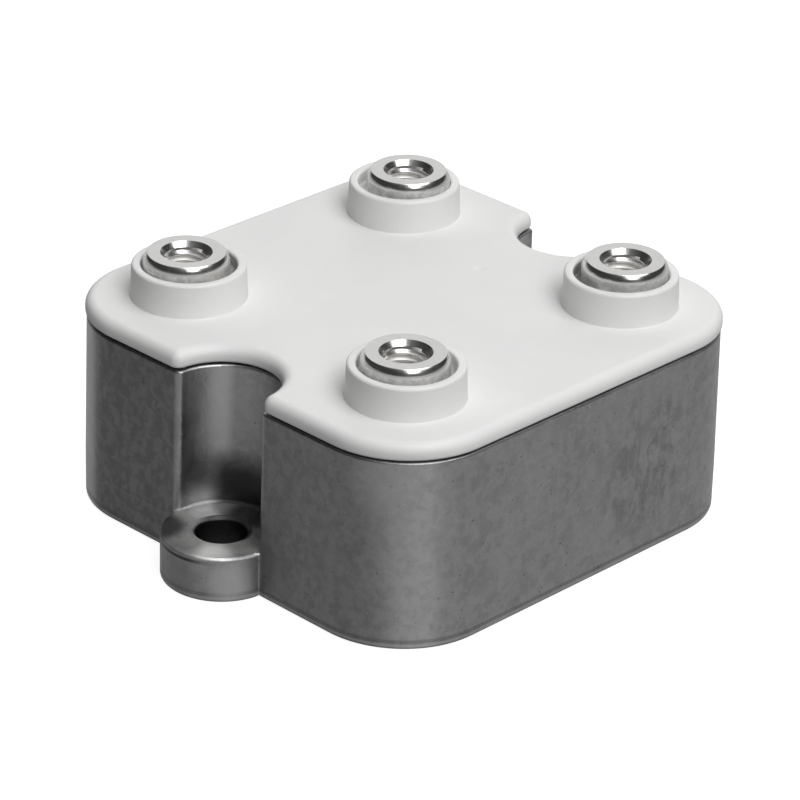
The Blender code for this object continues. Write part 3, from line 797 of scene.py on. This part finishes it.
for name, x, y in PLACES:
    centre_x = x * TERMINAL_OFF + PLAY[name][0]
    centre_y = y * TERMINAL_OFF + PLAY[name][1]
    work_on(bush)
    bpy.ops.object.duplicate()
    bpy.ops.transform.translate(value=(centre_x, centre_y, 0))
    copy = begin(f"bush_{name}")
    plated, tree, shader = new_material(f"nickel_plate_{name}", (0.72, 0.715, 0.7), 0.25, 1.0)
    turned = use_group(tree, rings, X=centre_x, Y=centre_y, Pitch=0.12 * MM).outputs
    dull = patchy(tree, 2.5 * MM, 0.1)
    tone = mix(tree, dull, *PLATED)
    matt = mix(tree, patchy(tree, 0.9 * MM, 0.2), *MATT_PLATED)
    tone = cover(tree, tone, matt, turned["Side"])
    # The bore is painted lighter, as painted light thrown round inside the thread
    tone = cover(tree, tone, PLATED_BRIGHT, turned["Bore"])
    tone = cover(tree, tone, PLATED_BRIGHT, edge_wear(tree, 0.1 * MM, 1 * MM))
    feed(tree, shader.inputs["Base Color"], tone)
    rough = stretch(tree, dull, 0, 1, 0.2, 0.26)
    rough = reckon(tree, "MULTIPLY_ADD", turned["Side"], 0.3, rough)
    rough = reckon(tree, "MULTIPLY_ADD", turned["Bore"], 0.32, rough)
    feed(tree, shader.inputs["Roughness"], rough)
    raise_surface(tree, shader, (turned["Height"], 0.002 * MM))
    dress(copy, plated, "nickel_plate", f"terminal_{name}")
bpy.data.objects.remove(bush, do_unlink=True)


def repaint(material, *nodes):
    """Give carried-over solids a new material."""
    for node in nodes:
        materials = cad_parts[node].data.materials
        materials.clear()
        materials.append(material)


DIODES = (1, 2, 3, 4)


# The ceramic plate. It is sintered alumina, left as fired, and keeps the copper apart from the
# case.

fired, tree, shader = new_material("fired_alumina", (0.86, 0.85, 0.82), 0.55)
tone = mix(tree, patchy(tree, 3 * MM, 0.2), (0.84, 0.83, 0.79, 1), (0.88, 0.87, 0.85, 1))
feed(tree, shader.inputs["Base Color"], tone)
raise_surface(tree, shader, (grainy(tree, 0.15 * MM), 0.006 * MM))
repaint(fired, "insulator_plate")


# The conductors. Pads, straps and risers are punched and bent from bare copper sheet, which has
# gone darker in patches where the solder oven heated it.

sheet, tree, shader = new_material("heated_copper", (0.72, 0.35, 0.22), 0.32, 1.0)
heat = patchy(tree, 2.5 * MM, 0.35)
tone = mix(tree, heat, (0.6, 0.26, 0.15, 1), (0.76, 0.4, 0.27, 1))
tone = cover(tree, tone, (0.9, 0.58, 0.44, 1), edge_wear(tree, 0.15 * MM, 1 * MM))
feed(tree, shader.inputs["Base Color"], tone)
feed(tree, shader.inputs["Roughness"], stretch(tree, heat, 0, 1, 0.42, 0.26))
raise_surface(tree, shader, (grainy(tree, 0.12 * MM), 0.002 * MM))
repaint(sheet, *[f"strap_{i}" for i in DIODES])
for name, _, _ in PLACES:
    repaint(sheet, f"pad_{name}", f"riser_{name}")


# The diode chips. They are silicon, polished and coated with a thin dark glass, and each is
# soldered down on its pad.

glazed, tree, shader = new_material("glazed_silicon", (0.12, 0.13, 0.16), 0.15)
haze = patchy(tree, 1.5 * MM, 0.3)
tone = mix(tree, haze, (0.1, 0.11, 0.15, 1), (0.14, 0.15, 0.17, 1))
feed(tree, shader.inputs["Base Color"], tone)
feed(tree, shader.inputs["Roughness"], stretch(tree, haze, 0, 1, 0.12, 0.2))
repaint(glazed, *[f"diode_chip_{i}" for i in DIODES])


# The contact discs. They are ground molybdenum, which swells with heat about as little as the
# silicon does, and they are soldered between chip and strap.

ground, tree, shader = new_material("ground_molybdenum", (0.45, 0.46, 0.48), 0.35, 1.0)
marks = grainy(tree, 0.08 * MM)
tone = mix(tree, marks, (0.41, 0.42, 0.44, 1), (0.5, 0.51, 0.53, 1))
feed(tree, shader.inputs["Base Color"], tone)
feed(tree, shader.inputs["Roughness"], stretch(tree, marks, 0.3, 0.7, 0.3, 0.42))
raise_surface(tree, shader, (marks, 0.003 * MM))
repaint(ground, *[f"contact_disc_{i}" for i in DIODES])


# The gel. It is soft clear silicone, poured in over the diodes to keep out damp, and it sets in
# its place.

gel, tree, shader = new_material("silicone_gel", (0.75, 0.78, 0.8), 0.12)
shader.inputs["Transmission Weight"].default_value = 0.85
shader.inputs["IOR"].default_value = 1.41
cloud = patchy(tree, 5 * MM, 0.2)
feed(tree, shader.inputs["Roughness"], stretch(tree, cloud, 0, 1, 0.1, 0.18))
repaint(gel, "gel_fill")


# The potting layer. It is black epoxy, cast over the gel to close the case and to hold the risers
# still.

resin, tree, shader = new_material("potting_resin", (0.06, 0.06, 0.06), 0.45)
flow = patchy(tree, 4 * MM, 0.25)
feed(tree, shader.inputs["Base Color"], mix(tree, flow, grey(0.05), grey(0.07)))
feed(tree, shader.inputs["Roughness"], stretch(tree, flow, 0, 1, 0.38, 0.52))
raise_surface(tree, shader, (flow, 0.03 * MM))
repaint(resin, "potting_layer")


# The studio: a pale floor, two soft lamps high on the right of the camera, and a dim room with a
# paler ceiling and a white screen behind the part.

FLOOR_RADIUS = 0.6
FLOOR_DOWN = 2 * HAIR
FLOOR_GLOW = 0.28
FLOOR_SHOWN = 0.62
SCREEN_TOWARDS = (0.672, 0.642, 0.375)

bpy.ops.object.select_all(action="DESELECT")
bpy.ops.mesh.primitive_circle_add(
    vertices=96, radius=FLOOR_RADIUS, fill_type="NGON", location=(0, 0, -FLOOR_DOWN)
)
floor = begin("floor")
paper, tree, shader = new_material("floor_paper", (0.28, 0.28, 0.28), 0.35)
rays = put(tree, "LightPath").outputs
shown = reckon(tree, "MAXIMUM", rays["Is Camera Ray"], rays["Is Glossy Ray"])
shown = reckon(tree, "MAXIMUM", shown, rays["Is Transmission Ray"])
shader.inputs["Emission Color"].default_value = (1, 1, 1, 1)
seen = reckon(tree, "MULTIPLY", rays["Is Camera Ray"], FLOOR_SHOWN)
brought = reckon(tree, "MULTIPLY_ADD", shown, FLOOR_GLOW, seen)
feed(tree, shader.inputs["Emission Strength"], brought)

# From below the floor is clear, so that the underside of the part can be seen
clear = put(tree, "BsdfTransparent")
faces = put(tree, "MixShader")
feed(tree, faces.inputs[0], put(tree, "NewGeometry").outputs["Backfacing"])
feed(tree, faces.inputs[1], shader.outputs["BSDF"])
feed(tree, faces.inputs[2], clear.outputs["BSDF"])
feed(tree, tree.nodes["Material Output"].inputs["Surface"], faces.outputs["Shader"])
floor.data.materials.append(paper)


def lamp(name, azimuth, height, distance, width, length, power):
    """A soft box that faces the part, from an azimuth and a height in degrees."""
    turn, lift = radians(azimuth), radians(height)
    light = bpy.data.lights.new(name, "AREA")
    light.shape = "RECTANGLE"
    light.size = width
    light.size_y = length
    light.energy = power
    made = bpy.data.objects.new(name, light)
    bpy.context.scene.collection.objects.link(made)
    made.location = (
        distance * sin(turn) * cos(lift), -distance * cos(turn) * cos(lift), distance * sin(lift)
    )
    made.rotation_euler = (pi / 2 - lift, 0, turn)


lamp("soft_box", azimuth=-2, height=62, distance=1.0, width=0.85, length=0.8, power=7.3)
lamp("strip_light", azimuth=-24, height=36, distance=1.0, width=0.38, length=0.42, power=2.4)

world = bpy.data.worlds.new("pale_room")
bpy.context.scene.world = world
world.use_nodes = True
tree = world.node_tree
place = put(tree, "TexCoord").outputs["Generated"]
towards = put(tree, "VectorMath")
towards.operation = "DOT_PRODUCT"
feed(tree, towards.inputs[0], place)
feed(tree, towards.inputs[1], SCREEN_TOWARDS)
height = split(tree, place)[2]
ceiling = stretch(tree, height, 0.5, 0.95)
screen = stretch(tree, towards.outputs["Value"], 0.68, 0.85)
below = stretch(tree, height, -0.1, -0.3)
shade = mix(tree, ceiling, grey(0.04), grey(0.2))
shade = cover(tree, shade, grey(0.82), screen)
shade = cover(tree, shade, grey(0.6), below)
shade = cover(tree, shade, grey(1), put(tree, "LightPath").outputs["Is Camera Ray"])
feed(tree, tree.nodes["Background"].inputs["Color"], shade)

view = bpy.data.cameras.new("photograph")
view.lens = 182.745
view.sensor_width = 36
view.clip_end = 20
camera = bpy.data.objects.new("photograph", view)
bpy.context.scene.collection.objects.link(camera)
camera.location = (-297.495 * MM, -287.115 * MM, 220.116 * MM)
camera.rotation_euler = (radians(63.2705), radians(-1.4738), radians(-45.2479))
bpy.context.scene.camera = camera
bpy.context.scene.view_settings.view_transform = "Standard"
